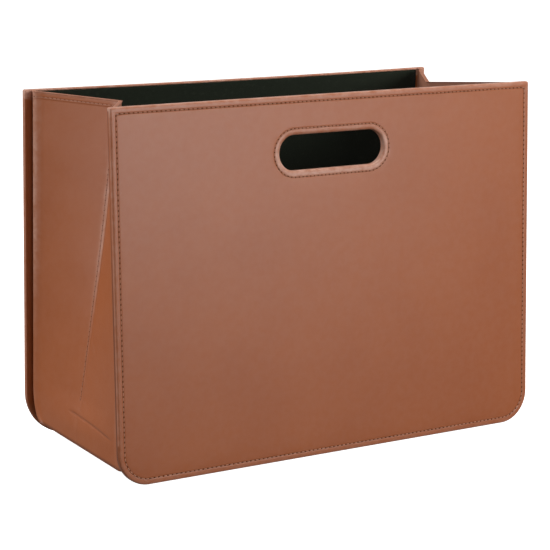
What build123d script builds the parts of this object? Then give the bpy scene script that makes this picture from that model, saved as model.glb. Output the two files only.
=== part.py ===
"""Folding magazine holder.

Two stiff leather-covered panels, each with a hand slot, stand on their lower edges and lean
slightly together.  A pleated gusset closes each side and a two-board base hangs between the
panels.  The base folds up in the middle and the gussets fold inward, so the panels close flat.

Units are millimetres.  The origin is on the floor under the middle of the holder, +X runs
along its width, -Y is the front and +Z is up.
"""
import os
from math import atan2, cos, degrees, hypot, radians, sin, tan

from build123d import *

# ---------------------------------------------------------------- driving dimensions
WIDTH = 380.0            # panels, side to side
HEIGHT = 280.0           # panels, floor to top edge
FOOT_DEPTH = 165.0       # over the outer faces, at the floor
TOP_DEPTH = 147.0        # over the outer faces, at the top edge
CORNER_R = 25.0          # lower corners of the panels

LEATHER_T = 1.0          # cover of the panels
BOARD_T = 3.0            # stiff card inside a panel
FELT_T = 1.0             # lining of a panel
FELT_INSET = 2.5         # leather turned over the rim before the felt starts

SLOT_WIDTH = 95.0        # hand slot, overall
SLOT_HEIGHT = 27.0
SLOT_DROP = 43.0         # slot centre below the top edge

SEAM_INSET = 4.7         # stitch line from the panel's edge
SLOT_SEAM_OUTSET = 4.9   # stitch line from the slot's edge
THREAD_W = 0.8
THREAD_T = 0.35

GUSSET_INSET = 5.0       # gusset's outer face from the panels' side edges
GUSSET_BOTTOM = 13.0     # height of the gusset's lower edge
GUSSET_TOP = 275.5       # height of the gusset's upper edge
PLEAT_TOP = 44.0         # how far the centre crease stands in at the upper edge
PLEAT_BOTTOM = 0.5       # and at the lower edge
GUSSET_LEATHER_T = 1.1
GUSSET_LINING_T = 0.9
FOLD_GAP = 0.4           # clearance along every fold line of the gussets
CREASE_SEAM_INSET = 2.5  # crease stitch line from the crease
HEM_SEAM_INSET = 4.0     # hem stitch line from the upper edge

BASE_SKIN_BOTTOM = 13.4  # soft underside of the base
BASE_SKIN_T = 1.2
BASE_BOARD_BOTTOM = 15.0
BASE_BOARD_T = 2.4
BASE_LINING_T = 0.8
BASE_GAP = 0.4           # boards to the panels and to each other
MITRE_MARGIN = 30.5      # boards' long edge from the gusset

FOLD_ANGLE = 75.0        # base board's turn when the holder is folded flat
PLEAT_ANGLE = 77.0       # gusset's angle from the panel's normal when folded flat

# ---------------------------------------------------------------- derived values
LEAN = atan2((FOOT_DEPTH - TOP_DEPTH) / 2, HEIGHT)
PANEL_T = LEATHER_T + BOARD_T + FELT_T
PANEL_RUN = HEIGHT / cos(LEAN)
SLOT_RUN = (HEIGHT - SLOT_DROP) / cos(LEAN)
INWARD = (0, -1, 0)
GUSSET_T = GUSSET_LEATHER_T + GUSSET_LINING_T
BASE_TOP = BASE_BOARD_BOTTOM + BASE_BOARD_T + BASE_LINING_T


def inner_face(height):
    """Y of the back panel's felt at a height."""
    return FOOT_DEPTH / 2 - PANEL_T - height * tan(LEAN)


# Fold lines of the left rear half gusset, on its inner face: the hinge edge on the back
# panel runs from HINGE_LOW to HINGE_HIGH, the centre crease from CREASE_LOW to CREASE_HIGH.
GUSSET_X = -(WIDTH / 2 - GUSSET_INSET - GUSSET_T)
HINGE_LOW = Vector(GUSSET_X, inner_face(GUSSET_BOTTOM), GUSSET_BOTTOM)
HINGE_HIGH = Vector(GUSSET_X, inner_face(GUSSET_TOP), GUSSET_TOP)
CREASE_LOW = Vector(GUSSET_X + PLEAT_BOTTOM, 0, GUSSET_BOTTOM)
CREASE_HIGH = Vector(GUSSET_X + PLEAT_TOP, 0, GUSSET_TOP)
LOWER_FACET = (HINGE_LOW, CREASE_LOW, HINGE_HIGH)
UPPER_FACET = (HINGE_HIGH, CREASE_LOW, CREASE_HIGH)

# Fold lines of the base: one along each panel's foot, one under the middle.
BASE_HINGE_Y = inner_face(BASE_TOP) - BASE_GAP
BASE_HINGE = Vector(0, BASE_HINGE_Y, BASE_TOP)
BASE_MIDDLE = Vector(0, 0, BASE_BOARD_BOTTOM)


def save(piece, name):
    """Label a finished piece and write it to its own file."""
    piece.part.label = name
    export_step(piece.part, f"parts/{name}.step")


def save_front_and_back(piece, name):
    """Write the back panel's piece, and its mirror image as the front panel's."""
    save(piece, f"back_{name}")
    with BuildPart() as front:
        mirror(piece.part, about=Plane.XZ)
    save(front, f"front_{name}")


# ---------------------------------------------------------------- panels
def panel_plane(depth):
    """Plane parallel to the back panel's outer face, `depth` in from it along -Y."""
    normal = (0, -cos(LEAN), -sin(LEAN))
    return Plane(origin=(0, FOOT_DEPTH / 2 - depth, 0), x_dir=(1, 0, 0), z_dir=normal)


def panel_outline(depth, inset, with_slot=True):
    """Outline of the panel drawn in by `inset`, with its hand slot drawn out as much."""
    with BuildSketch(panel_plane(depth)) as outline:
        with Locations((0, PANEL_RUN / 2)):
            Rectangle(WIDTH - 2 * inset, PANEL_RUN - 2 * inset)
        fillet(outline.vertices().group_by(Axis.Y)[0], CORNER_R - inset)
        if with_slot:
            with Locations((0, SLOT_RUN)):
                SlotOverall(SLOT_WIDTH + 2 * inset, SLOT_HEIGHT + 2 * inset, mode=Mode.SUBTRACT)
    return outline.sketch


def slot_outline(depth, outset):
    """Hand slot drawn out by `outset`."""
    with BuildSketch(panel_plane(depth)) as outline:
        with Locations((0, SLOT_RUN)):
            SlotOverall(SLOT_WIDTH + 2 * outset, SLOT_HEIGHT + 2 * outset)
    return outline.sketch


def panel_cover():
    """Leather wrapped over the board's face, rim and slot, and turned in behind them."""
    with BuildPart() as cover:
        extrude(panel_outline(0, 0), amount=PANEL_T, dir=INWARD)
        board_space = panel_outline(LEATHER_T, LEATHER_T)
        extrude(board_space, amount=BOARD_T, dir=INWARD, mode=Mode.SUBTRACT)
        felt_space = panel_outline(LEATHER_T + BOARD_T, FELT_INSET)
        extrude(felt_space, amount=FELT_T, dir=INWARD, mode=Mode.SUBTRACT)
    return cover


def panel_board():
    """Stiff card core."""
    with BuildPart() as board:
        extrude(panel_outline(LEATHER_T, LEATHER_T), amount=BOARD_T, dir=INWARD)
    return board


def panel_felt():
    """Dark felt on the inner face, inside the turned leather."""
    with BuildPart() as felt:
        extrude(panel_outline(LEATHER_T + BOARD_T, FELT_INSET), amount=FELT_T, dir=INWARD)
    return felt


def edge_stitching():
    """Thread line round the panel's rim, on the outer face."""
    half = THREAD_W / 2
    with BuildPart() as thread:
        rim = panel_outline(-THREAD_T, SEAM_INSET - half, with_slot=False)
        middle = panel_outline(-THREAD_T, SEAM_INSET + half, with_slot=False)
        extrude(rim, amount=THREAD_T, dir=INWARD)
        extrude(middle, amount=THREAD_T, dir=INWARD, mode=Mode.SUBTRACT)
    return thread


def slot_stitching():
    """Thread line round the hand slot, on the outer face."""
    half = THREAD_W / 2
    with BuildPart() as thread:
        extrude(slot_outline(-THREAD_T, SLOT_SEAM_OUTSET + half), amount=THREAD_T, dir=INWARD)
        middle = slot_outline(-THREAD_T, SLOT_SEAM_OUTSET - half)
        extrude(middle, amount=THREAD_T, dir=INWARD, mode=Mode.SUBTRACT)
    return thread


# ---------------------------------------------------------------- base
def base_half(bottom, thickness):
    """Rear half of a base layer: its ends are mitred so that the gussets can fold past."""
    long_half = WIDTH / 2 - GUSSET_INSET - MITRE_MARGIN
    run = BASE_HINGE_Y - 2 * BASE_GAP
    with BuildPart() as layer:
        with BuildSketch(Plane.XY.offset(bottom)):
            with BuildLine():
                Polyline(
                    (-long_half, BASE_HINGE_Y - BASE_GAP),
                    (long_half, BASE_HINGE_Y - BASE_GAP),
                    (long_half - run, BASE_GAP),
                    (run - long_half, BASE_GAP),
                    close=True,
                )
            make_face()
        extrude(amount=thickness)
    return layer


def base_skin():
    """Soft leather underside, from panel to panel and gusset to gusset."""
    top = BASE_SKIN_BOTTOM + BASE_SKIN_T
    with BuildPart() as skin:
        with BuildSketch(Plane.XY.offset(BASE_SKIN_BOTTOM)):
            Rectangle(-2 * (GUSSET_X + BASE_GAP + PLEAT_BOTTOM), 2 * (inner_face(top) - BASE_GAP))
        extrude(amount=BASE_SKIN_T)
    return skin


# ---------------------------------------------------------------- gussets
def facet_plane(corners):
    """Plane of a facet's inner face, its normal pointing out of the holder."""
    first, second, third = corners
    normal = (second - first).cross(third - first)
    if normal.X > 0:
        normal = normal * -1
    return Plane(origin=first, x_dir=second - first, z_dir=normal)


def facet_sheet(corners, start, thickness):
    """One layer of a flat facet, clear of its fold lines and of the middle of the holder."""
    plane = facet_plane(corners)
    outline = [plane.to_local_coords(corner) for corner in corners]
    middle = Plane(origin=(0, FOLD_GAP, 0), z_dir=(0, 1, 0))
    with BuildPart() as sheet:
        with BuildSketch(plane.offset(start)):
            with BuildLine():
                Polyline(*outline, close=True)
            make_face()
            offset(amount=-FOLD_GAP, kind=Kind.INTERSECTION)
        extrude(amount=thickness)
        split(bisect_by=middle, keep=Keep.TOP)
    return sheet


def facet_thread(corners, seam_start, seam_end, inset, end_gap):
    """Thread line on a facet's outer face, `inset` in from the edge seam_start-seam_end."""
    plane = facet_plane(corners)
    start = plane.to_local_coords(seam_start)
    end = plane.to_local_coords(seam_end)
    middle = plane.to_local_coords(sum(corners, Vector()) * (1 / 3))
    along = (end - start).normalized()
    across = Vector(-along.Y, along.X)
    if across.dot(middle - start) < 0:
        across = across * -1
    near = inset - THREAD_W / 2
    far = inset + THREAD_W / 2
    with BuildPart() as thread:
        with BuildSketch(plane.offset(GUSSET_T)):
            with BuildLine():
                Polyline(
                    start + along * end_gap + across * near,
                    end - along * end_gap + across * near,
                    end - along * end_gap + across * far,
                    start + along * end_gap + across * far,
                    close=True,
                )
            make_face()
        extrude(amount=THREAD_T)
    return thread


def save_gusset_piece(piece, name, ends=("rear", "front")):
    """Write the left rear piece and its mirror images, named by side and end."""
    mirrors = {
        ("left", "rear"): (),
        ("left", "front"): (Plane.XZ,),
        ("right", "rear"): (Plane.YZ,),
        ("right", "front"): (Plane.XZ, Plane.YZ),
    }
    for (side, end), planes in mirrors.items():
        if end not in ends:
            continue
        shape = piece.part
        for plane in planes:
            shape = shape.mirror(plane)
        with BuildPart() as copy:
            add(shape)
        save(copy, f"{side}_{end}_{name}")


# ---------------------------------------------------------------- report of the fold
def fold_report():
    """Print the fold axes and angles that the joints need."""
    along = (HINGE_HIGH - HINGE_LOW).normalized()
    swing = CREASE_LOW - HINGE_LOW
    swing = swing - along * swing.dot(along)
    rest_angle = degrees(atan2(swing.X, hypot(swing.Y, swing.Z)))
    crease = facet_plane(LOWER_FACET).z_dir.get_angle(facet_plane(UPPER_FACET).z_dir)
    folded = radians(FOLD_ANGLE) + LEAN
    base_t = BASE_TOP - BASE_BOARD_BOTTOM
    half_gap = BASE_GAP + BASE_HINGE_Y * cos(folded) + base_t * sin(folded)
    print(f"lean of each panel {degrees(LEAN):.3f} degrees")
    print(f"base hinge at {BASE_HINGE}, base middle at {BASE_MIDDLE}")
    print(f"gusset hinge edge {HINGE_LOW} to {HINGE_HIGH}")
    print(f"gusset diagonal {HINGE_HIGH} to {CREASE_LOW}")
    print(f"lower facet turns {PLEAT_ANGLE - rest_angle:.3f}, upper facet {crease:.3f} degrees")
    print(f"gap between the felts when folded {2 * half_gap:.1f} mm")


def main():
    os.makedirs("parts", exist_ok=True)
    save_front_and_back(panel_cover(), "panel_cover")
    save_front_and_back(panel_board(), "panel_board")
    save_front_and_back(panel_felt(), "panel_felt")
    save_front_and_back(edge_stitching(), "edge_stitching")
    save_front_and_back(slot_stitching(), "slot_stitching")

    save_front_and_back(base_half(BASE_BOARD_BOTTOM, BASE_BOARD_T), "base_board")
    lining_bottom = BASE_BOARD_BOTTOM + BASE_BOARD_T
    save_front_and_back(base_half(lining_bottom, BASE_LINING_T), "base_lining")
    save(base_skin(), "base_skin")

    for corners, name in ((LOWER_FACET, "lower"), (UPPER_FACET, "upper")):
        lining = facet_sheet(corners, 0, GUSSET_LINING_T)
        leather = facet_sheet(corners, GUSSET_LINING_T, GUSSET_LEATHER_T)
        save_gusset_piece(lining, f"gusset_{name}_lining")
        save_gusset_piece(leather, f"gusset_{name}_leather")
    hem = facet_thread(UPPER_FACET, HINGE_HIGH, CREASE_HIGH, HEM_SEAM_INSET, 5.0)
    save_gusset_piece(hem, "hem_stitching")
    crease = facet_thread(UPPER_FACET, CREASE_LOW, CREASE_HIGH, CREASE_SEAM_INSET, 22.0)
    save_gusset_piece(crease, "crease_stitching", ends=("rear",))
    fold_report()


main()
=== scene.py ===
from math import atan2, cos, exp, hypot, pi, radians, sin, sqrt

import bmesh
import bpy
import numpy as np
from mathutils import Matrix, Vector, noise


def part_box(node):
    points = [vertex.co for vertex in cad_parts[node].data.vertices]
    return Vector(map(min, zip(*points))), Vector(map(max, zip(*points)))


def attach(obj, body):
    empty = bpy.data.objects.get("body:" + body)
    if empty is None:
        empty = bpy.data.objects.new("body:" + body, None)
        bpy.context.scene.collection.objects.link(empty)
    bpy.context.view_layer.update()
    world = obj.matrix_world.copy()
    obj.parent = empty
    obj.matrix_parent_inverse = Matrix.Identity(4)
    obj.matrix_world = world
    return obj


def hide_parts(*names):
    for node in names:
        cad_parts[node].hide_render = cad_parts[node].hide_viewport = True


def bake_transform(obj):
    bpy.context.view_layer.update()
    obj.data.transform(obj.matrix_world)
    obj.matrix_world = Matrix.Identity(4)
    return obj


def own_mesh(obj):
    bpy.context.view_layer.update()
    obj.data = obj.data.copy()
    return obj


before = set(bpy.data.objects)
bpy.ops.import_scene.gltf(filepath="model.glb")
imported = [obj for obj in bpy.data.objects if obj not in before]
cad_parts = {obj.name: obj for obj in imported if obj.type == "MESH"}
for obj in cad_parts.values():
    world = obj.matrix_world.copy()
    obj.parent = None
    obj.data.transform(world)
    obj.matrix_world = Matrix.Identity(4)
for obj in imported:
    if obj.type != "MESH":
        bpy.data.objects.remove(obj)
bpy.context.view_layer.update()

MM = 0.001

# ---------------------------------------------------------------- sizes
# The panels' width, height, foot and lean come from the frame.
low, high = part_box("back_panel_cover")
PANEL_T = 5 * MM
FELT_FOOT = 2.5 * MM
HALF_W = (high[0] - low[0]) / 2
HEIGHT = high[2]
FOOT_Y = high[1]
LEAN = (FOOT_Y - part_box("back_panel_felt")[0][1] - PANEL_T) / (HEIGHT - FELT_FOOT)
CORNER_R = {"back": 38 * MM, "front": 25 * MM}
TOP_CORNER_R = 1.2 * MM
BOW = {"back": 8.5 * MM, "front": 1.2 * MM}

# The hand slot: its middle's height, its half length and the radius of its ends.
SLOT_Z = HEIGHT - 43 * MM
SLOT_HALF = 47.5 * MM
SLOT_R = 13.5 * MM

# Seams: how far they run inside an edge, the pitch, and (length, width, height) of a stitch.
RIM_SEAM = 4.7 * MM
SLOT_SEAM = 4.9 * MM
RIM_PITCH = 3.8 * MM
SLOT_PITCH = 3.4 * MM
PANEL_STITCH = (2.5 * MM, 0.95 * MM, 0.3 * MM)
PANEL_HOLE = (1.4 * MM, 1.15 * MM, 0.15 * MM)
HEM_STITCH = (2.7 * MM, 0.7 * MM, 0.2 * MM)
HEM_HOLE = (0.95 * MM, 0.8 * MM, 0.1 * MM)
CREASE_STITCH = (2.6 * MM, 0.7 * MM, 0.2 * MM)
CREASE_HOLE = (0.9 * MM, 0.75 * MM, 0.1 * MM)

# Layers of a panel, by depth from its outer face, and how far they stop short of its edge.
LIP = 1.7 * MM
BOARD_DEPTHS = (1.1 * MM, 3.9 * MM)
BOARD_INSET = 1.15 * MM
FELT_DEPTHS = (4.02 * MM, 5.0 * MM)
FELT_INSET = 1.8 * MM
BEHIND_GUSSET = 7.6 * MM

# The gussets: the left one's inner face, thickness, bottom and top, and how far it is pleated.
GUSSET_IN = -183 * MM
GUSSET_T = 2 * MM
GUSSET_LOW = 13 * MM
GUSSET_HIGH = 275.5 * MM
PANEL_GAP = 0.12 * MM
PLEAT = 44 * MM
PLEAT_FOOT = 0.5 * MM
TOP_SLOPE = 3.6 * MM
FOOT_SLOPE = 2.85 * MM
SLACK_LINE = 35.5 * MM
HEM = 271.5 * MM
CREASE_SEAM = (46 * MM, 262 * MM)
CREASE_ASIDE = 2.5 * MM
HIDE_SHARES = (1.0, 0.46)
BACKING_SHARES = (0.45, 0.0)
OUTSIDE = 0.9

# The base: how far its outer corners come in, and the boards' slanted ends.
FOOT_TUCK = {"back": 6.5 * MM, "front": 2 * MM}
BOARD_TRIM = 3 * MM
SKIN_GAP = 0.3 * MM
HAIR = 0.02 * MM


def inner_y(z):
    """Y of the back panel's inner face at a height."""
    return FOOT_Y - PANEL_T - z * LEAN


def smooth(value, start, end):
    """0 at start, 1 at end, eased between."""
    t = min(max((value - start) / (end - start), 0.0), 1.0)
    return t * t * (3 - 2 * t)


# ---------------------------------------------------------------- materials
def new_material(name):
    """(material, its node tree, its surface shader)"""
    material = bpy.data.materials.new(name)
    material.use_nodes = True
    tree = material.node_tree
    shader = next(n for n in tree.nodes if n.type == "BSDF_PRINCIPLED")
    return material, tree, shader


def noise_node(tree, vector, scale, detail=3.0, rough=0.55, distortion=0.0):
    """A noise texture's value, from 0 to 1."""
    made = tree.nodes.new("ShaderNodeTexNoise")
    tree.links.new(vector, made.inputs["Vector"])
    made.inputs["Scale"].default_value = scale
    made.inputs["Detail"].default_value = detail
    made.inputs["Roughness"].default_value = rough
    made.inputs["Distortion"].default_value = distortion
    return made.outputs["Fac"]


def ramp(tree, factor, start, end):
    """0 where factor is start, 1 where it is end."""
    made = tree.nodes.new("ShaderNodeMapRange")
    tree.links.new(factor, made.inputs["Value"])
    made.inputs["From Min"].default_value = start
    made.inputs["From Max"].default_value = end
    return made.outputs["Result"]


def mix(tree, factor, a, b):
    """Mix two colours; a and b are sockets or rgb triples, factor a socket or a number."""
    made = tree.nodes.new("ShaderNodeMix")
    made.data_type = "RGBA"
    sockets = [s for s in made.inputs if s.type == "RGBA"]
    for socket, value in zip(sockets, (a, b)):
        if isinstance(value, tuple):
            socket.default_value = (*value, 1.0)
        else:
            tree.links.new(value, socket)
    if isinstance(factor, float):
        made.inputs[0].default_value = factor
    else:
        tree.links.new(factor, made.inputs[0])
    return next(s for s in made.outputs if s.type == "RGBA")


def maths(tree, operation, a, b):
    """A math node; a and b are sockets or numbers."""
    made = tree.nodes.new("ShaderNodeMath")
    made.operation = operation
    for socket, value in zip(made.inputs, (a, b)):
        if isinstance(value, (int, float)):
            socket.default_value = value
        else:
            tree.links.new(value, socket)
    return made.outputs[0]


def rest_vector(tree):
    """The surface's resting coordinates, stored on the mesh, so patterns stay with it."""
    made = tree.nodes.new("ShaderNodeAttribute")
    made.attribute_name = "rest"
    return made.outputs["Vector"]


def attribute(tree, name):
    """A number stored on the mesh's points."""
    made = tree.nodes.new("ShaderNodeAttribute")
    made.attribute_name = name
    return made.outputs["Fac"]


def bump(tree, shader, height, strength, distance):
    """Lets a height socket bend the shader's normal."""
    made = tree.nodes.new("ShaderNodeBump")
    made.inputs["Strength"].default_value = strength
    made.inputs["Distance"].default_value = distance
    tree.links.new(height, made.inputs["Height"])
    tree.links.new(made.outputs["Normal"], shader.inputs["Normal"])


def leather(name, tan, dark, pale, rough=0.37):
    """Smooth leather: fine pebble grain, slow mottling, pale where a painted highlight and
    scuffing are stored, dark where painted shade is stored.
    """
    material, tree, shader = new_material(name)
    vector = rest_vector(tree)
    broad = ramp(tree, noise_node(tree, vector, 11.0, 4.0), 0.33, 0.67)
    mottle = ramp(tree, noise_node(tree, vector, 160.0, 4.0, 0.6), 0.35, 0.65)
    colour = mix(tree, maths(tree, "MULTIPLY", broad, 0.55), tan, dark)
    colour = mix(tree, maths(tree, "MULTIPLY", mottle, 0.05), colour, pale)
    cells = tree.nodes.new("ShaderNodeTexVoronoi")
    cells.feature = "DISTANCE_TO_EDGE"
    cells.inputs["Scale"].default_value = 900.0
    warp = tree.nodes.new("ShaderNodeVectorMath")
    warp.operation = "MULTIPLY_ADD"
    warp_noise = tree.nodes.new("ShaderNodeTexNoise")
    warp_noise.inputs["Scale"].default_value = 420.0
    tree.links.new(vector, warp_noise.inputs["Vector"])
    tree.links.new(warp_noise.outputs["Color"], warp.inputs[0])
    warp.inputs[1].default_value = (0.0012, 0.0012, 0.0012)
    tree.links.new(vector, warp.inputs[2])
    tree.links.new(warp.outputs[0], cells.inputs["Vector"])
    pebble = ramp(tree, cells.outputs["Distance"], 0.0, 0.16)
    fine = noise_node(tree, vector, 2600.0, 2.0)
    between = maths(tree, "SUBTRACT", 1.0, pebble)
    colour = mix(tree, maths(tree, "MULTIPLY", between, 0.14), colour, dark)
    # Painted highlight, with some scuffing on the rolled edges: the stored share mixes in the
    # pale colour.
    highlight_and_scuffs = maths(tree, "MULTIPLY", attribute(tree, "highlight_and_scuffs"), ramp(tree, mottle, -0.6, 1.0))
    colour = mix(tree, maths(tree, "MULTIPLY", highlight_and_scuffs, 0.9), colour, pale)
    # Painted shade in dents, gaps and folds and on shaded edges: the stored share darkens the
    # colour.
    painted_shade = maths(tree, "MULTIPLY", attribute(tree, "painted_shade"), 0.55)
    colour = mix(tree, painted_shade, colour, tuple(0.45 * c for c in dark))
    tree.links.new(colour, shader.inputs["Base Color"])
    roughness = maths(tree, "ADD", maths(tree, "MULTIPLY", fine, 0.12), rough - 0.06)
    tree.links.new(roughness, shader.inputs["Roughness"])
    shader.inputs["Specular IOR Level"].default_value = 0.35
    grain = maths(tree, "MULTIPLY", pebble, 0.6)
    height = maths(tree, "ADD", grain, maths(tree, "MULTIPLY", fine, 0.35))
    waves = maths(tree, "MULTIPLY", noise_node(tree, vector, 45.0, 3.0), 1.6)
    height = maths(tree, "ADD", height, waves)
    bump(tree, shader, height, 0.18, 0.0002)
    return material


def felt(name, colour, pale):
    """Pressed felt: matt short fibres with a little lint."""
    material, tree, shader = new_material(name)
    vector = rest_vector(tree)
    fibres = noise_node(tree, vector, 900.0, 6.0, 0.7, 1.5)
    lint = ramp(tree, noise_node(tree, vector, 240.0, 5.0, 0.7), 0.56, 0.75)
    cloud = ramp(tree, noise_node(tree, vector, 18.0, 3.0), 0.3, 0.7)
    shade = mix(tree, maths(tree, "MULTIPLY", fibres, 0.7), colour, pale)
    shade = mix(tree, maths(tree, "MULTIPLY", cloud, 0.25), shade, colour)
    shade = mix(tree, maths(tree, "MULTIPLY", lint, 0.3), shade, tuple(1.9 * c for c in pale))
    tree.links.new(shade, shader.inputs["Base Color"])
    shader.inputs["Roughness"].default_value = 0.95
    shader.inputs["Specular IOR Level"].default_value = 0.05
    shader.inputs["Sheen Weight"].default_value = 0.1
    shader.inputs["Sheen Roughness"].default_value = 0.5
    bump(tree, shader, fibres, 0.7, 0.0005)
    return material


def thread(name, colour, pale):
    """Twisted thread: fine diagonal plies across each stitch."""
    material, tree, shader = new_material(name)
    vector = rest_vector(tree)
    wave = tree.nodes.new("ShaderNodeTexWave")
    wave.bands_direction = "DIAGONAL"
    wave.inputs["Scale"].default_value = 520.0
    wave.inputs["Distortion"].default_value = 1.2
    tree.links.new(vector, wave.inputs["Vector"])
    fuzz = noise_node(tree, vector, 1500.0, 3.0)
    tone = ramp(tree, noise_node(tree, vector, 30.0, 2.0), 0.35, 0.65)
    shade = mix(tree, maths(tree, "MULTIPLY", wave.outputs["Fac"], 0.5), colour, pale)
    shade = mix(tree, maths(tree, "MULTIPLY", tone, 0.3), shade, tuple(0.6 * c for c in colour))
    tree.links.new(shade, shader.inputs["Base Color"])
    shader.inputs["Roughness"].default_value = 0.7
    height = maths(tree, "ADD", wave.outputs["Fac"], maths(tree, "MULTIPLY", fuzz, 0.4))
    bump(tree, shader, height, 0.5, 0.0002)
    return material


def hole_shade_material():
    """Painted shade of the pricked needle holes: dark, matt, a little uneven."""
    material, tree, shader = new_material("needle_hole_shade")
    vector = rest_vector(tree)
    tone = noise_node(tree, vector, 700.0, 3.0)
    shade = mix(tree, tone, (0.085, 0.024, 0.010), (0.140, 0.042, 0.019))
    tree.links.new(shade, shader.inputs["Base Color"])
    shader.inputs["Roughness"].default_value = 0.85
    shader.inputs["Specular IOR Level"].default_value = 0.05
    bump(tree, shader, tone, 0.3, 0.0002)
    return material


def card_material():
    """Pressed card boards, hidden inside the panels and over the base."""
    material, tree, shader = new_material("pressed_card")
    vector = rest_vector(tree)
    flecks = noise_node(tree, vector, 1200.0, 5.0, 0.7)
    layers = noise_node(tree, vector, 90.0, 3.0)
    shade = mix(tree, flecks, (0.17, 0.125, 0.085), (0.27, 0.21, 0.15))
    shade = mix(tree, maths(tree, "MULTIPLY", layers, 0.3), shade, (0.12, 0.09, 0.065))
    tree.links.new(shade, shader.inputs["Base Color"])
    shader.inputs["Roughness"].default_value = 0.9
    bump(tree, shader, flecks, 0.4, 0.0003)
    return material


# Each pale colour serves the mottling and the painted highlights.
PANEL_LEATHER = leather(
    "panel_leather", (0.300, 0.080, 0.021), (0.262, 0.066, 0.017), (0.50, 0.29, 0.22)
)
GUSSET_LEATHER = leather(
    "gusset_leather", (0.318, 0.086, 0.022), (0.272, 0.069, 0.017), (0.47, 0.25, 0.18)
)
BASE_LEATHER = leather(
    "base_leather", (0.17, 0.066, 0.035), (0.115, 0.042, 0.022), (0.25, 0.12, 0.07), 0.55
)
LINING = leather(
    "gusset_lining", (0.33, 0.14, 0.085), (0.27, 0.105, 0.06), (0.42, 0.22, 0.15), 0.6
)
FELT = felt("black_felt", (0.0068, 0.0094, 0.0056), (0.022, 0.0265, 0.0175))
THREAD = thread("brown_thread", (0.36, 0.15, 0.085), (0.48, 0.24, 0.15))
HOLE_SHADE = hole_shade_material()
CARD = card_material()


# ---------------------------------------------------------------- mesh helpers
def make_mesh(name, points, faces, material, highlight_and_scuffs=None, painted_shade=None, flat_angle=None):
    """A closed mesh at the origin with its resting coordinates, its painted highlight and
    scuffing, and its painted shade stored on it.
    """
    mesh = bpy.data.meshes.new(name)
    mesh.from_pydata([tuple(p) for p in points], [], faces)
    mesh.update()
    mesh.materials.append(material)
    rest = mesh.attributes.new("rest", "FLOAT_VECTOR", "POINT")
    rest.data.foreach_set("vector", np.asarray(points, dtype=np.float32).ravel())
    for key, values in (("highlight_and_scuffs", highlight_and_scuffs), ("painted_shade", painted_shade)):
        values = np.zeros(len(points)) if values is None else values
        layer = mesh.attributes.new(key, "FLOAT", "POINT")
        layer.data.foreach_set("value", np.asarray(values, dtype=np.float32))
    mesh.polygons.foreach_set("use_smooth", np.ones(len(mesh.polygons), dtype=bool))
    thing = bpy.data.objects.new(name, mesh)
    bpy.context.scene.collection.objects.link(thing)
    orient(mesh)
    if flat_angle is not None:
        mesh.set_sharp_from_angle(angle=radians(flat_angle))
    return thing


def orient(mesh):
    """Turns the faces outward: a closed mesh has a positive volume then."""
    work = bmesh.new()
    work.from_mesh(mesh)
    bmesh.ops.recalc_face_normals(work, faces=work.faces)
    if work.calc_volume(signed=True) < 0:
        bmesh.ops.reverse_faces(work, faces=work.faces)
    work.to_mesh(mesh)
    work.free()
    mesh.update()


def grid_faces(rows, columns, wrap_rows=False, wrap_columns=False, start=0):
    """Four-sided faces over a grid of points numbered row by row from start."""
    faces = []
    for i in range(rows if wrap_rows else rows - 1):
        for j in range(columns if wrap_columns else columns - 1):
            a = start + i * columns + j
            b = start + i * columns + (j + 1) % columns
            c = start + ((i + 1) % rows) * columns + (j + 1) % columns
            d = start + ((i + 1) % rows) * columns + j
            faces.append((a, b, c, d))
    return faces


# ---------------------------------------------------------------- panel outlines
CLOSEST_RAYS = 0.0008  # radians
FLAT = 1e-9  # a ray this close to an axis never meets the edge along it
FAR = 9.0


def ray_angles():
    """Directions from the slot's middle, closer together where an outline curves."""
    angles = list(np.linspace(0, 2 * pi, 480, endpoint=False))
    for side in (-1, 1):
        marks = []
        for corner in CORNER_R.values():
            x, z = side * (HALF_W - corner), corner - SLOT_Z
            for k in range(25):
                turn = -pi / 2 + side * (pi / 2) * k / 24
                marks.append((x + corner * cos(turn), z + corner * sin(turn)))
        for k in range(33):
            turn = pi / 2 - side * pi * k / 32
            marks.append((side * (SLOT_HALF - SLOT_R) + SLOT_R * cos(turn), SLOT_R * sin(turn)))
        marks.append((side * HALF_W, HEIGHT - SLOT_Z))
        for reach in (0.8, 1.5, 3.0, 5.0):
            marks.append((side * (HALF_W - reach * MM), HEIGHT - SLOT_Z))
            marks.append((side * HALF_W, HEIGHT - SLOT_Z - reach * MM))
        angles += [atan2(z, x) % (2 * pi) for x, z in marks]
    angles = sorted(angles)
    kept = [angles[0]]
    for angle in angles[1:]:
        if angle - kept[-1] > CLOSEST_RAYS:
            kept.append(angle)
    return kept


RAYS = ray_angles()


def hit_circle(dx, dz, cx, cz, r):
    """How far a ray from the origin runs to a circle's far side."""
    along = dx * cx + dz * cz
    return along + sqrt(max(along * along - (cx * cx + cz * cz - r * r), 0.0))


def rim_point(end, angle, inset, aside=0.0):
    """Where a ray from the slot's middle meets the panel's outline moved in by inset."""
    dx, dz = cos(angle), sin(angle)
    w, top, bottom = HALF_W - inset - aside, HEIGHT - inset - SLOT_Z, inset - SLOT_Z
    reach = min(
        w / abs(dx) if abs(dx) > FLAT else FAR,
        (top / dz if dz > 0 else bottom / dz) if abs(dz) > FLAT else FAR,
    )
    x, z = dx * reach, dz * reach
    low_r = max(CORNER_R[end] - inset, 0.5 * MM)
    top_r = max(TOP_CORNER_R - 0.2 * inset, 0.4 * MM)
    for radius, edge_z in ((low_r, bottom), (top_r, top)):
        centre_z = edge_z + radius if edge_z < 0 else edge_z - radius
        beyond = z < centre_z if edge_z < 0 else z > centre_z
        if beyond and abs(x) > w - radius:
            reach = hit_circle(dx, dz, (w - radius) * (1 if dx > 0 else -1), centre_z, radius)
            x, z = dx * reach, dz * reach
    return x, z + SLOT_Z


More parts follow.
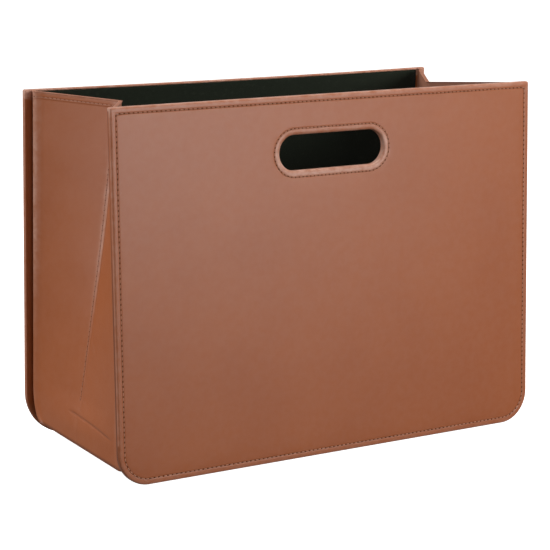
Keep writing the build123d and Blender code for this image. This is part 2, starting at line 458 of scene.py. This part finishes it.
def slot_point(angle, outset):
    """Where a ray from the slot's middle meets the slot's outline moved out by outset."""
    dx, dz = cos(angle), sin(angle)
    r, half = SLOT_R + outset, SLOT_HALF - SLOT_R
    if abs(dz) > FLAT and abs(dx) * r / abs(dz) <= half:
        reach = r / abs(dz)
    else:
        reach = hit_circle(dx, dz, half * (1 if dx > 0 else -1), 0.0, r)
    return dx * reach, dz * reach + SLOT_Z


def bow_at(end, x, z):
    """How far a panel bends inward: its top edge gives a little between the gussets."""
    across = max(1 - (x / (HALF_W - 5 * MM)) ** 2, 0.0)
    return BOW[end] * across * (min(max(z / HEIGHT, 0.0), 1.0) ** 2.2)


def panel_point(end, x, z, depth):
    """A point of a leaning, bowed panel at a depth below its outer face."""
    y = FOOT_Y - depth - z * LEAN - bow_at(end, x, z)
    return (x, y if end == "back" else -y, z)


def ring_piece(name, end, rings, material, paint_light_and_scuffs=True):
    """A plate with a hole: rings of points round the slot and the rim make a closed skin.
    A ring is (kind, offset, depth): on the slot, on the rim, or part of the way between."""
    points, highlight_and_scuffs, painted_shade = [], [], []
    for kind, offset, depth in rings:
        for angle in RAYS:
            if kind == "slot":
                x, z = slot_point(angle, offset)
            elif kind == "rim":
                x, z = rim_point(end, angle, offset)
            elif kind == "inner_rim":
                x, z = rim_point(end, angle, offset, BEHIND_GUSSET)
            else:
                share, out, inset, aside = offset
                a, b = slot_point(angle, out), rim_point(end, angle, inset, aside)
                x, z = a[0] + (b[0] - a[0]) * share, a[1] + (b[1] - a[1]) * share
            points.append(panel_point(end, x, z, depth))
            # Pale painted highlight with scuffing, and dark painted shade, for each point of the
            # cover.
            paleness, dark = paleness_and_shade_at(end, kind, offset, depth, x, z) if paint_light_and_scuffs else (0.0, 0.0)
            highlight_and_scuffs.append(paleness)
            painted_shade.append(dark)
    count = len(RAYS)
    faces = grid_faces(len(rings), count, wrap_rows=True, wrap_columns=True)
    return make_mesh(name, points, faces, material, highlight_and_scuffs, painted_shade)


SIDE_BAND = 9 * MM
TOP_BAND = 7 * MM
BOTTOM_BAND = 32 * MM


def paleness_and_shade_at(end, kind, offset, depth, x, z):
    """(how pale, how dark) the leather is painted at a ring's point: pale for a painted highlight
    and scuffing, dark for painted shade.
    """
    if kind == "mid":
        return 0.0, 0.0
    at_side = abs(x) > HALF_W - SIDE_BAND and z < HEIGHT - 3 * MM
    at_top = z > HEIGHT - TOP_BAND
    # The inner lip: a painted highlight along the top, painted shade beside and below the felt.
    if depth > 4.6 * MM:
        return (0.8, 0.0) if at_top else (0.0, 0.25 if at_side else 0.2)
    # Painted shade darkens the back panel's outer corner, the front panel's side face (more
    # towards the bottom) and the bottom edge.
    if kind == "rim" and at_side and end == "back" and offset < 0.6 * MM and depth < 0.7 * MM:
        return 0.0, 0.55
    if kind == "rim" and at_side and end == "front" and depth > 2.2 * MM:
        low_down = 1 - smooth(z, 120 * MM, 220 * MM)
        return 0.0, 0.9 + 0.6 * low_down if depth > 3.4 * MM else 1.5 * low_down
    if kind == "rim" and z < BOTTOM_BAND and offset < 0.3 * MM:
        return 0.0, 0.8
    # The slot's roll is the palest, scuffing and a painted highlight, least so on its upper side;
    # painted shade lies in the seam's dent.
    if kind == "slot":
        paleness = 1.0 if offset < 0.9 * MM else max(0.0, 0.95 - 0.3 * offset / SLOT_SEAM)
        paleness *= 1 - smooth(offset, SLOT_SEAM - 0.5 * MM, SLOT_SEAM + 1.2 * MM)
        paleness *= 1 - 0.5 * smooth(z - SLOT_Z, 6 * MM, 14 * MM)
        return paleness, 0.3 if abs(offset - SLOT_SEAM) < 0.25 * MM and depth > 0 else 0.0
    # The rim's roll: scuffing and a painted highlight, strongest along the top edge; painted
    # shade lies in the seam's dent.
    paleness = 1.0 if offset < 0.4 * MM else max(0.0, 0.75 - 0.75 * offset / (3.6 * MM))
    paleness *= 1.0 if at_top else 0.4
    return paleness, 0.35 if abs(offset - RIM_SEAM) < 0.25 * MM and depth > 0 else 0.0


def field(out, inset, depth, steps, aside=0.0):
    """Rings that cover a panel's flat between its slot and its rim."""
    return [("mid", (k / steps, out, inset, aside), depth) for k in range(1, steps)]


# Sections of the cover, in mm: (distance from the edge, depth). The inner lip, the roll
# round the slot, the roll round the rim, and the dent that a seam pulls into the leather.
INNER_LIP = [(1.0, 4.97), (0.4, 4.86), (0.08, 4.45), (0.0, 3.8), (0.0, 2.8)]
SLOT_ROLL = [
    (0.0, 2.0), (0.09, 1.35), (0.35, 0.82), (0.8, 0.42), (1.35, 0.18), (2.0, 0.05), (2.8, 0.0)
]
RIM_ROLL = [
    (0.0, 1.7), (0.06, 1.1), (0.22, 0.65), (0.5, 0.32), (0.9, 0.11), (1.5, 0.01), (2.6, 0.0)
]
DENT = [
    (-1.3, 0.0), (-0.8, 0.03), (-0.45, 0.14), (-0.2, 0.26), (0.0, 0.3),
    (0.2, 0.26), (0.45, 0.14), (0.8, 0.03), (1.3, 0.0),
]


def cover_rings():
    """The leather's rings: outer face, rolled edges, inner lip and the side on the board."""
    rings = [("slot", 1.6 * MM, 4.93 * MM)]
    rings += [("slot", a * MM, b * MM) for a, b in INNER_LIP + SLOT_ROLL]
    rings += [("slot", SLOT_SEAM + a * MM, b * MM) for a, b in DENT]
    rings += field(SLOT_SEAM + 1.6 * MM, RIM_SEAM + 1.6 * MM, 0.0, 22)
    rings += [("rim", RIM_SEAM - a * MM, b * MM) for a, b in DENT]
    rings += [("rim", a * MM, b * MM) for a, b in reversed(INNER_LIP + RIM_ROLL)]
    rings += [("inner_rim", 1.6 * MM, 4.93 * MM), ("inner_rim", LIP, 4.05 * MM)]
    rings += [("rim", 1.0 * MM, 4.0 * MM), ("rim", 1.0 * MM, 1.0 * MM)]
    rings += list(reversed(field(1.0 * MM, 1.0 * MM, 1.0 * MM, 16)))
    rings += [("slot", 1.0 * MM, 1.0 * MM), ("slot", 1.0 * MM, 4.0 * MM)]
    rings += [("slot", LIP, 4.05 * MM)]
    return rings


def plate_rings(gap, depths, steps, kind="rim"):
    """A plain plate between two depths with softened edges, short of both outlines."""
    r = 0.3 * MM
    outer, inner = depths
    aside = BEHIND_GUSSET if kind == "inner_rim" else 0.0
    rings = [("slot", gap, inner - r), ("slot", gap, outer + r), ("slot", gap + r, outer)]
    rings += field(gap + r, gap + r, outer, steps, aside)
    rings += [(kind, gap + r, outer), (kind, gap, outer + r)]
    rings += [(kind, gap, inner - r), (kind, gap + r, inner)]
    rings += list(reversed(field(gap + r, gap + r, inner, steps, aside)))
    rings += [("slot", gap + r, inner)]
    return rings


def outline_path(end, kind, offset):
    """A closed seam's points, and how far along it each one is."""
    if kind == "rim":
        w, bottom, top = HALF_W - offset, offset, HEIGHT - offset
        r, q = CORNER_R[end] - offset, 1.0 * MM
        arcs = [(w - q, top - q, q, 0), (-w + q, top - q, q, pi / 2)]
        arcs += [(-w + r, bottom + r, r, pi), (w - r, bottom + r, r, 1.5 * pi)]
    else:
        half, r = SLOT_HALF - SLOT_R, SLOT_R + offset
        arcs = [(half, SLOT_Z, r, -pi / 2), (half, SLOT_Z, r, 0)]
        arcs += [(-half, SLOT_Z, r, pi / 2), (-half, SLOT_Z, r, pi)]
    corners = []
    for cx, cz, r, start in arcs:
        turns = [start + pi / 2 * k / 30 for k in range(31)]
        corners += [(cx + r * cos(turn), cz + r * sin(turn)) for turn in turns]
    corners = np.array(corners + corners[:1])
    lengths = np.concatenate([[0], np.cumsum(np.hypot(*np.diff(corners, axis=0).T))])
    return corners, lengths


def at_length(corners, lengths, s):
    """(x, z) on a seam at a distance along it."""
    return np.interp(s, lengths, corners[:, 0]), np.interp(s, lengths, corners[:, 1])


# ---------------------------------------------------------------- stitches
# A stitch's sections: where along it, how wide, how high its middle stands.
SPINDLE = (
    (-0.5, 0.35, -0.55), (-0.46, 0.72, -0.3), (-0.3, 0.95, 0.05), (0.0, 1.0, 0.12),
    (0.3, 0.95, 0.05), (0.46, 0.72, -0.3), (0.5, 0.35, -0.55),
)
SIDES = 7


def spindles(name, places, measure, material, slant=0.0):
    """Small closed beads laid along a seam. A place is (middle, along, out)."""
    length, width, height = measure
    points, faces = [], []
    for number, (middle, along, out) in enumerate(places):
        along, out = Vector(along).normalized(), Vector(out).normalized()
        across = along.cross(out).normalized()
        wobble = noise.noise(Vector((number * 0.73, 1.7, 3.1)))
        tilt = slant + 0.06 * wobble
        ahead = (along * cos(tilt) + across * sin(tilt)).normalized()
        aside = (across * cos(tilt) - along * sin(tilt)).normalized()
        size = 1 + 0.08 * noise.noise(Vector((number * 0.41, 7.7, 2.3)))
        base = len(points)
        for step, girth, rise in SPINDLE:
            centre = Vector(middle) + ahead * (step * length * size) + out * (rise * height)
            for k in range(SIDES):
                turn = 2 * pi * k / SIDES
                sideways = aside * (0.5 * width * girth * cos(turn))
                points.append(centre + sideways + out * (height * girth * sin(turn)))
        faces += grid_faces(len(SPINDLE), SIDES, wrap_columns=True, start=base)
        faces.append(tuple(base + k for k in range(SIDES)))
        last = base + (len(SPINDLE) - 1) * SIDES
        faces.append(tuple(last + k for k in reversed(range(SIDES))))
    return make_mesh(name, points, faces, material)


def seam_places(end, kind, offset, shift=0.0, depth=0.12 * MM):
    """Places of the stitches (or of the holes between them) round a panel's seam."""
    corners, lengths = outline_path(end, kind, offset)
    count = round(lengths[-1] / (RIM_PITCH if kind == "rim" else SLOT_PITCH))
    pitch = lengths[-1] / count
    places = []
    for k in range(count):
        s = (k + 0.5 + shift) * pitch % lengths[-1]
        x, z = at_length(corners, lengths, s)
        x2, z2 = at_length(corners, lengths, (s + 0.3 * MM) % lengths[-1])
        x1, z1 = at_length(corners, lengths, (s - 0.3 * MM) % lengths[-1])
        middle = np.array(panel_point(end, x, z, depth))
        ahead = np.array(panel_point(end, x2, z2, depth))
        along = ahead - np.array(panel_point(end, x1, z1, depth))
        outward = (0, 1, LEAN) if end == "back" else (0, -1, LEAN)
        places.append((middle, along, outward))
    return places


# ---------------------------------------------------------------- panels
for end in ("back", "front"):
    body = f"{end}_panel"
    cover = ring_piece(f"{end}_cover_leather", end, cover_rings(), PANEL_LEATHER)
    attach(cover, body)
    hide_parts(f"{end}_panel_cover")

    rings = plate_rings(BOARD_INSET, BOARD_DEPTHS, 12)
    board = ring_piece(f"{end}_stiff_board", end, rings, CARD, False)
    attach(board, body)
    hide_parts(f"{end}_panel_board")

    rings = plate_rings(FELT_INSET, FELT_DEPTHS, 20, "inner_rim")
    pad = ring_piece(f"{end}_inner_felt", end, rings, FELT, False)
    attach(pad, body)
    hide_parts(f"{end}_panel_felt")

    for kind, offset, seam in (("rim", RIM_SEAM, "edge"), ("slot", SLOT_SEAM, "slot")):
        places = seam_places(end, kind, offset)
        stitches = spindles(f"{end}_{seam}_stitches", places, PANEL_STITCH, THREAD, 0.10)
        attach(stitches, body)
        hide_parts(f"{end}_{seam}_stitching")
        # Dark beads of painted shade where the needle holes are.
        places = seam_places(end, kind, offset, 0.5, 0.16 * MM)
        holes = spindles(f"{end}_{seam}_needle_holes", places, PANEL_HOLE, HOLE_SHADE)
        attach(holes, body)


# ---------------------------------------------------------------- gussets
def pleat(z):
    """How far the crease stands in at a height; the pleat dies out above the bottom strip."""
    share = (z - GUSSET_LOW) / (GUSSET_HIGH - GUSSET_LOW)
    straight = PLEAT_FOOT + (PLEAT - PLEAT_FOOT) * share
    straight -= 2.5 * MM * smooth(z, 150 * MM, GUSSET_HIGH)
    return PLEAT_FOOT + (straight - PLEAT_FOOT) * smooth(z, 24 * MM, 52 * MM) ** 0.7


def ripple(y, z):
    """Slow unevenness of the soft leather, nothing at its edges."""
    value = noise.noise(Vector((y * 22, z * 13, 4.2)))
    value += 0.5 * noise.noise(Vector((y * 51, z * 34, 9.1)))
    window = smooth(z, GUSSET_LOW, 45 * MM) * (1 - smooth(z, 235 * MM, GUSSET_HIGH))
    return 0.55 * MM * value * window


def risen(y, level, rear):
    """Height of a row's point: the top edge climbs from the crease to the panel,
    and the bottom edge hangs lower at the front than at the back."""
    share = min(max(y / inner_y(level), 0.0), 1.0)
    hang = -0.35 * MM - FOOT_SLOPE * share * (1 if rear else -1)
    level -= hang * (1 - smooth(level, GUSSET_LOW, 70 * MM))
    return level + TOP_SLOPE * share * smooth(level, 200 * MM, 272 * MM)


def cut_back(level, rear):
    """How far the gusset's bottom corner is rounded off, away from the panel."""
    width, top = (15 * MM, 44 * MM) if rear else (3 * MM, 18 * MM)
    u = min(max((top - level) / (top - GUSSET_LOW), 0.0), 1.0)
    return width * (1 - sqrt(1 - u * u))


def slack_fold(y, level, rear, width):
    """The soft fold across the gusset above the base: 1 on its line, 0 away from it."""
    line = SLACK_LINE + 1.2 * MM * sin(y * 40) - (0.0 if rear else 0.08 * y)
    window = 1 - (smooth(y, 8 * MM, 18 * MM) if rear else smooth(y, 50 * MM, 62 * MM))
    return exp(-(((level - line) / width) ** 2)) * window


def layer_x(y, level, share, rear):
    """X of a surface in the left gusset: share 0 is its inner face, 1 its outer face."""
    z = risen(y, level, rear)
    wall = inner_y(z)
    inset = pleat(z)
    lean = hypot(inset, wall) / wall
    gap = max(wall - cut_back(level, rear) - y, 0.0)
    run = (7.5 if rear else 3.4) * MM
    fill = sqrt(max(1 - (1 - min(gap / run, 1.0)) ** 2, 0.0)) if gap < run else 1.0
    inner = GUSSET_IN + inset * (1 - y / wall)
    inner += (1.0 if rear else 1.2) * MM * (1 - fill)
    inner -= 1.7 * MM * exp(-(((gap - 4.2 * MM) / (3.2 * MM)) ** 2)) if rear else 0.0
    window = smooth(gap, 0.0, 16 * MM) * smooth(y, 0.0, 14 * MM)
    inner += ripple(y, z) * window
    ridge = 1 - smooth(y, 0.0, 2.2 * MM)
    inner -= 0.5 * MM * ridge * smooth(z, 40 * MM, 80 * MM) * (1 - share)
    thick = GUSSET_T * lean * (0.06 + 0.94 * fill)
    x = inner - thick * share
    hem = smooth(level, 269.9 * MM, 270.7 * MM)
    if share > OUTSIDE:
        x -= 0.35 * MM * hem * fill
        x += 0.5 * MM * slack_fold(y, level, rear, 1.0 * MM) * fill
        x += 0.22 * MM * exp(-((level - HEM) / (0.5 * MM)) ** 2) * fill
    round_top = smooth(level, 274.3 * MM, GUSSET_HIGH) ** 2
    round_low = (1 - smooth(level, GUSSET_LOW, 13.9 * MM)) ** 2
    x += (0.5 - share) * GUSSET_T * 0.45 * (round_top + round_low) * fill
    return x


def row_heights():
    """Heights of a half gusset's rows, close together at the edges, slack fold and hem."""
    spans = (
        (13, 14.2, 0.2), (14.4, 29, 1.4), (29.6, 37.2, 0.45), (38.4, 60, 2.2),
        (60, 266, 3.6), (267.5, 274, 0.42), (274.0, 275.5, 0.22),
    )
    rows = [row for span in spans for row in np.arange(*span)] + [275.5]
    return [r * MM for r in rows]


def column_shares():
    """Shares of the way from the panel to the crease, close together at both ends."""
    near = [0.0, 0.0012, 0.004, 0.009, 0.016, 0.025, 0.036, 0.05, 0.07, 0.1, 0.14]
    middle = list(np.linspace(0.18, 0.9, 22))
    far = [0.93, 0.95, 0.965, 0.975, 0.983, 0.99, 0.995, 1.0]
    return near + middle + far


ROWS = row_heights()
COLUMNS = column_shares()


def sheet_piece(name, side, end, shares, material):
    """One closed layer of a half gusset between two shares of its thickness."""
    rear = end == "rear"
    points, highlight_and_scuffs, painted_shade = [], [], []
    for share in shares:
        for level in ROWS:
            for column in COLUMNS:
                z = risen(inner_y(level) * (1 - column), level, rear)
                wall = inner_y(z) - PANEL_GAP
                y = (wall - cut_back(level, rear)) * (1 - column)
                points.append((layer_x(y, level, share, rear), y, z))
                # The outside carries painted highlights and painted shade.
                paleness, dark = hide_painted_light(y, level, rear) if share > OUTSIDE else (0.0, 0.0)
                highlight_and_scuffs.append(paleness)
                painted_shade.append(dark)
    rows, columns = len(ROWS), len(COLUMNS)
    size = rows * columns
    faces = grid_faces(rows, columns) + grid_faces(rows, columns, start=size)
    border = list(range(columns))
    border += [i * columns + columns - 1 for i in range(1, rows)]
    border += [(rows - 1) * columns + j for j in range(columns - 2, -1, -1)]
    border += [i * columns for i in range(rows - 2, 0, -1)]
    for k, a in enumerate(border):
        b = border[(k + 1) % len(border)]
        faces.append((a, b, b + size, a + size))
    points = [place(side, end, p) for p in points]
    return make_mesh(name, points, faces, material, highlight_and_scuffs, painted_shade, flat_angle=50)


def hide_painted_light(y, level, rear):
    """(how pale, how dark) a half gusset's outside is painted: painted highlights on bends, along
    the crease and on the top edge, stronger higher up; painted shade in folds, on the hem line,
    behind the crease, in the gap by the panel and along the foot.
    """
    gap = inner_y(level) - y
    fade = smooth(level, 90 * MM, 170 * MM)
    # Painted highlight on the soft bend beside the panel and on the crease's roll.
    if rear:
        bend = (0.3 + 0.85 * fade) * exp(-(((gap - 3.8 * MM) / (3.2 * MM)) ** 2))
    else:
        bend = 0.5 * exp(-(((gap - 9.6 * MM) / (1.2 * MM)) ** 2))
    ridge = (0.08 + 0.72 * fade) * (1 - smooth(y, 2.0 * MM, 6.0 * MM)) if rear else 0.0
    paleness = max(0.8 * smooth(level, 273.8 * MM, 275.3 * MM), bend, ridge)
    # Painted shade: hem line, slack fold, behind the crease, the gap by the panel and the foot.
    hem = exp(-(((level - HEM) / (0.5 * MM)) ** 2))
    line = slack_fold(y, level, rear, 0.8 * MM)
    behind = 0.0 if rear else (0.15 + 0.35 * fade) * (1 - smooth(y, 0.5 * MM, 4 * MM))
    deep = 0.9 * (1 - smooth(gap, 0.5 * MM, 1.9 * MM))
    foot = 1.8 * (1 - smooth(level, 13.4 * MM, 15.6 * MM))
    return float(paleness), float(max(0.3 * hem, 0.7 * line, behind, deep, foot))


def place(side, end, p):
    """Mirrors a point or direction of the left rear half gusset into another half."""
    x, y, z = p
    return (x if side == "left" else -x, y if end == "rear" else -y, z)


def outer_point(y, level, rear):
    """A point of a half gusset's outer face."""
    return np.array((layer_x(y, level, 1.0, rear), y, risen(y, level, rear)))


def gusset_place(side, end, y, z, dy, dz, lift):
    """A stitch's place on the outside of a half gusset; (dy, dz) is the way it runs."""
    rear = end == "rear"
    step = 0.4 * MM
    here = outer_point(y, z, rear)
    a = outer_point(y + step, z, rear) - outer_point(y - step, z, rear)
    b = outer_point(y, z + step, rear) - outer_point(y, z - step, rear)
    out = np.cross(a, b)
    out = out / np.linalg.norm(out)
    if out[0] > 0:
        out = -out
    size = hypot(dy, dz)
    along = outer_point(y + step * dy / size, z + step * dz / size, rear) - here
    middle = here + out * lift
    return place(side, end, middle), place(side, end, along), place(side, end, out)


def follow(piece):
    """Bakes a half gusset piece's placement into its mesh."""
    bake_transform(piece)


for side in ("left", "right"):
    for end in ("rear", "front"):
        key = f"{side}_{end}"
        hide = sheet_piece(f"{key}_gusset_hide", side, end, HIDE_SHARES, GUSSET_LEATHER)
        follow(hide)
        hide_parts(f"{key}_gusset_lower_leather", f"{key}_gusset_upper_leather")
        backing = sheet_piece(f"{key}_gusset_backing", side, end, BACKING_SHARES, LINING)
        follow(backing)
        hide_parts(f"{key}_gusset_lower_lining", f"{key}_gusset_upper_lining")

        wall = inner_y(HEM)
        reach = hypot(wall - 5 * MM, PLEAT * (wall - 5 * MM) / wall)
        count = int(reach / RIM_PITCH)
        run = wall - 7 * MM
        spots = [2.5 * MM + run * (k + 0.5) / count for k in range(count)]
        places = [gusset_place(side, end, y, HEM, 1, 0, 0.0) for y in spots]
        stitches = spindles(f"{key}_hem_stitches", places, HEM_STITCH, THREAD, 0.08)
        follow(stitches)
        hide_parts(f"{key}_hem_stitching")
        # Dark beads of painted shade where the needle holes are.
        half = 0.5 * run / count
        places = [gusset_place(side, end, y + half, HEM, 1, 0, -HAIR) for y in spots]
        holes = spindles(f"{key}_hem_needle_holes", places, HEM_HOLE, HOLE_SHADE)
        follow(holes)

        if end == "rear":
            foot, top = CREASE_SEAM
            count = int((top - foot) / RIM_PITCH)
            heights = [foot + (top - foot) * (k + 0.5) / count for k in range(count)]
            aside = CREASE_ASIDE
            places = [gusset_place(side, end, aside, z, 0, 1, 0.08 * MM) for z in heights]
            seam = spindles(f"{key}_crease_stitches", places, CREASE_STITCH, THREAD, 0.06)
            follow(seam)
            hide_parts(f"{key}_crease_stitching")
            # Dark beads of painted shade where the needle holes are.
            heights = [z + RIM_PITCH / 2 for z in heights]
            places = [gusset_place(side, end, aside, z, 0, 1, 0.0) for z in heights]
            holes = spindles(f"{key}_crease_needle_holes", places, CREASE_HOLE, HOLE_SHADE)
            follow(holes)


# ---------------------------------------------------------------- base
# A slab's rounded edge: (how far out, how far up from its middle), in shares.
SLAB_EDGE = [
    (-0.15, -1), (0.5, -0.92), (0.9, -0.6), (1.0, 0.0), (0.9, 0.6), (0.5, 0.92), (-0.15, 1)
]
SLAB_STEPS = 16


def slab(name, outline, bottom, top, material, radius, soft=0.0):
    """A flat piece from a polygon: rounded edges, and faces of rings shrunk toward the middle."""
    outline = np.array(outline, dtype=float)
    centre = outline.mean(axis=0)
    dense = []
    for k in range(len(outline)):
        a, b = outline[k], outline[(k + 1) % len(outline)]
        pieces = max(int(np.hypot(*(b - a)) / (5 * MM)), 1)
        dense += [a + (b - a) * i / pieces for i in range(pieces)]
    dense = np.array(dense)
    ahead, behind = np.roll(dense, -1, axis=0), np.roll(dense, 1, axis=0)
    tangent = ahead - behind
    normal = np.stack([tangent[:, 1], -tangent[:, 0]], axis=1) / np.hypot(*tangent.T)[:, None]
    if (normal * (dense - centre)).sum() < 0:
        normal = -normal
    middle = (bottom + top) / 2
    half = (top - bottom) / 2
    edge = [(radius * (out - 1), middle + half * up) for out, up in SLAB_EDGE]
    shares = [1 - (k / SLAB_STEPS) ** 0.8 for k in range(1, SLAB_STEPS)]
    rings = [(share, edge[0][0], bottom) for share in reversed(shares)]
    rings += [(1.0, shift, z) for shift, z in edge]
    rings += [(share, edge[-1][0], top) for share in shares]

    def sag(x, y, share):
        return soft * noise.noise(Vector((x * 25, y * 25, 3.3))) * (1 - share ** 4)

    points = []
    for share, shift, z in rings:
        for p, n in zip(dense, normal):
            x, y = centre + (p + n * shift - centre) * share
            points.append((x, y, z + sag(x, y, share)))
    count = len(dense)
    faces = grid_faces(len(rings), count, wrap_columns=True)
    low_hub, top_hub = len(points), len(points) + 1
    points += [(*centre, z + sag(*centre, 0.0)) for z in (bottom, top)]
    last = (len(rings) - 1) * count
    for k in range(count):
        faces.append((low_hub, (k + 1) % count, k))
        faces.append((top_hub, last + k, last + (k + 1) % count))
    return make_mesh(name, points, faces, material)


for end in ("back", "front"):
    body = "base_rear" if end == "back" else "base_front"
    layers = (
        ("board", CARD, "card", 0.5 * MM, 0.0, -HAIR),
        ("lining", FELT, "base_felt", 0.35 * MM, HAIR, 0.0),
    )
    for layer, material, slot_name, radius, lift, drop in layers:
        low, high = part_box(f"{end}_base_{layer}")
        near, far = (high[1], low[1]) if end == "back" else (low[1], high[1])
        short = high[0] - abs(near - far) - BOARD_TRIM
        wide = high[0] - FOOT_TUCK[end] - BOARD_TRIM
        outline = [(-wide, near), (wide, near), (short, far), (-short, far)]
        bottom, top = low[2] + lift, high[2] + drop
        part = slab(f"{end}_floor_{layer}", outline, bottom, top, material, radius)
        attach(part, body)
        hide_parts(f"{end}_base_{layer}")

low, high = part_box("base_skin")
fore = high[0] - SKIN_GAP - FOOT_TUCK["front"]
rear = high[0] - SKIN_GAP - FOOT_TUCK["back"]
near, far = low[1] + SKIN_GAP, high[1] - SKIN_GAP
outline = [(-fore, near), (fore, near), (rear, far), (-rear, far)]
skin = slab("base_underside", outline, low[2], high[2], BASE_LEATHER, 0.5 * MM, 0.12 * MM)
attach(skin, "back_panel")
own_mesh(skin)
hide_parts("base_skin")


# ---------------------------------------------------------------- floor, light, camera
def floor_material():
    """A pale floor that shines a little by itself, so that it stays evenly pale."""
    material, tree, shader = new_material("pale_floor")
    vector = tree.nodes.new("ShaderNodeTexCoord").outputs["Object"]
    tone = noise_node(tree, vector, 3.0, 2.0)
    shade = mix(tree, tone, (0.74, 0.74, 0.74), (0.78, 0.78, 0.78))
    tree.links.new(shade, shader.inputs["Base Color"])
    shader.inputs["Emission Color"].default_value = (1.0, 1.0, 1.0, 1.0)
    shader.inputs["Emission Strength"].default_value = 0.95
    shader.inputs["Roughness"].default_value = 0.9
    shader.inputs["Specular IOR Level"].default_value = 0.1
    return material


FLOOR_HALF = 30
FLOOR_Z = -0.5 * MM
floor_mesh = bpy.data.meshes.new("floor")
quarters = ((-1, -1), (1, -1), (1, 1), (-1, 1))
corners = [(x * FLOOR_HALF, y * FLOOR_HALF, FLOOR_Z) for x, y in quarters]
floor_mesh.from_pydata(corners, [], [(0, 1, 2, 3)])
floor_mesh.materials.append(floor_material())
floor = bpy.data.objects.new("floor", floor_mesh)
bpy.context.scene.collection.objects.link(floor)
floor.visible_diffuse = False
floor.visible_glossy = False


def area_light(name, spot, aim, size, power, diffuse=True, glossy=True):
    """A rectangular lamp at spot facing aim, seen by diffuse rays, glossy rays or both."""
    data = bpy.data.lights.new(name, "AREA")
    data.shape = "RECTANGLE"
    data.size, data.size_y = size
    data.energy = power
    lamp = bpy.data.objects.new(name, data)
    lamp.location = spot
    lamp.rotation_euler = (Vector(aim) - Vector(spot)).to_track_quat("-Z", "Y").to_euler()
    lamp.visible_diffuse = diffuse
    lamp.visible_glossy = glossy
    bpy.context.scene.collection.objects.link(lamp)


area_light("overhead", (-0.2, -0.2, 2.0), (0, 0, 0.1), (1.8, 1.8), 25)
area_light("left_fill", (-1.9, 0.5, 0.9), (0, 0, 0.15), (1.6, 1.4), 25)
area_light("right_key", (1.2, -1.3, 0.8), (0.1, 0, 0.12), (0.8, 0.8), 31, glossy=False)
area_light("front_sheen", (0.74, -1.8, 0.22), (0, 0, 0.2), (0.5, 0.3), 14, diffuse=False)
area_light("rear_fill", (-1.1, 2.0, 0.9), (0, 0, 0.15), (1.2, 1.2), 14, glossy=False)

world = bpy.data.worlds.new("studio")
world.use_nodes = True
background = next(n for n in world.node_tree.nodes if n.type == "BACKGROUND")
background.inputs["Color"].default_value = (1.0, 1.0, 1.0, 1.0)
background.inputs["Strength"].default_value = 0.26
bpy.context.scene.world = world
bpy.context.scene.view_settings.view_transform = "Standard"

YAW, PITCH_DOWN, ROLL = radians(32.033), radians(11.261), radians(0.233)
CAMERA_SPOT = (-0.8402, -1.3345, 0.4411)
LENS = 130.84
forward = Vector((sin(YAW) * cos(PITCH_DOWN), cos(YAW) * cos(PITCH_DOWN), -sin(PITCH_DOWN)))
level = Vector((cos(YAW), -sin(YAW), 0.0))
upward = level.cross(forward)
right = level * cos(ROLL) + upward * sin(ROLL)
above = upward * cos(ROLL) - level * sin(ROLL)
camera_data = bpy.data.cameras.new("camera")
camera_data.lens = LENS
camera_data.sensor_width = 36.0
camera_data.clip_end = 50.0
camera = bpy.data.objects.new("camera", camera_data)
turn = Matrix((right, above, -forward)).transposed().to_4x4()
camera.matrix_world = Matrix.Translation(CAMERA_SPOT) @ turn
bpy.context.scene.collection.objects.link(camera)
bpy.context.scene.camera = camera

bpy.context.view_layer.update()
